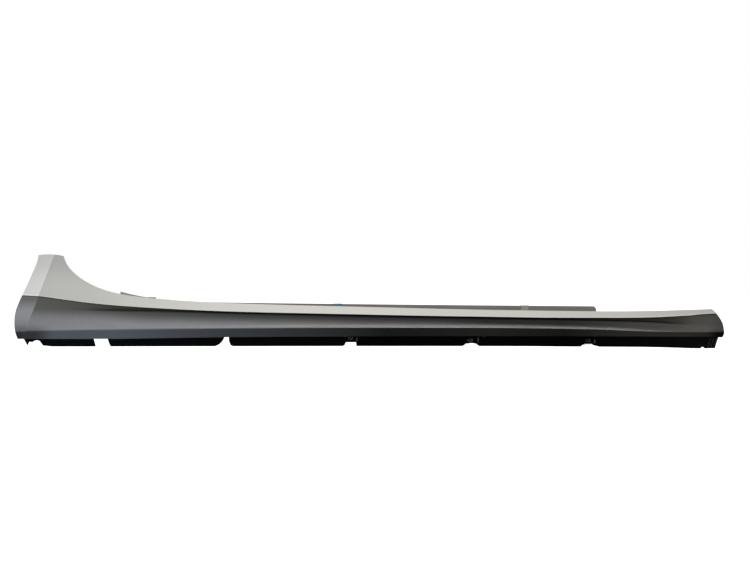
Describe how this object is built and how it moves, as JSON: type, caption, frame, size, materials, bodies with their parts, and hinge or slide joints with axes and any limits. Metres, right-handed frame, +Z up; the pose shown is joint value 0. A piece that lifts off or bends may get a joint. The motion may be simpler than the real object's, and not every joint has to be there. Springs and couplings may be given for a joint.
{
  "type": "car side skirt",
  "caption": "Right-hand car side skirt: a dark blade-shaped sill moulding with an underside flange, a painted upper trim with a rear flare, a seal strip and fixing clips.",
  "frame": {"origin": "under the middle of the skirt: the middle of its box along X and Y, at its lowest edge", "axes": "+X to the front of the car, -Y is the outer face, +Y points to the car body, +Z up"},
  "size_m": [2.0001, 0.0992, 0.2656],
  "materials": {
    "dark_plastic": "satin dark grey moulding, near-black under the lip",
    "silver_paint": "silver metallic paint on plastic",
    "seal_foam": "matt brown-grey foam seal",
    "blue_nylon": "blue moulded nylon",
    "pale_nylon": "pale grey moulded nylon"
  },
  "bodies": {
    "root": {"sill_moulding": "dark_plastic", "upper_trim": "silver_paint", "upper_seal": "seal_foam", "rail_clip_rear": "pale_nylon", "rail_clip_middle": "blue_nylon", "rail_clip_front": "pale_nylon", "push_clip_upper": "pale_nylon", "push_clip_lower": "pale_nylon"}
  },
  "joints": []
}
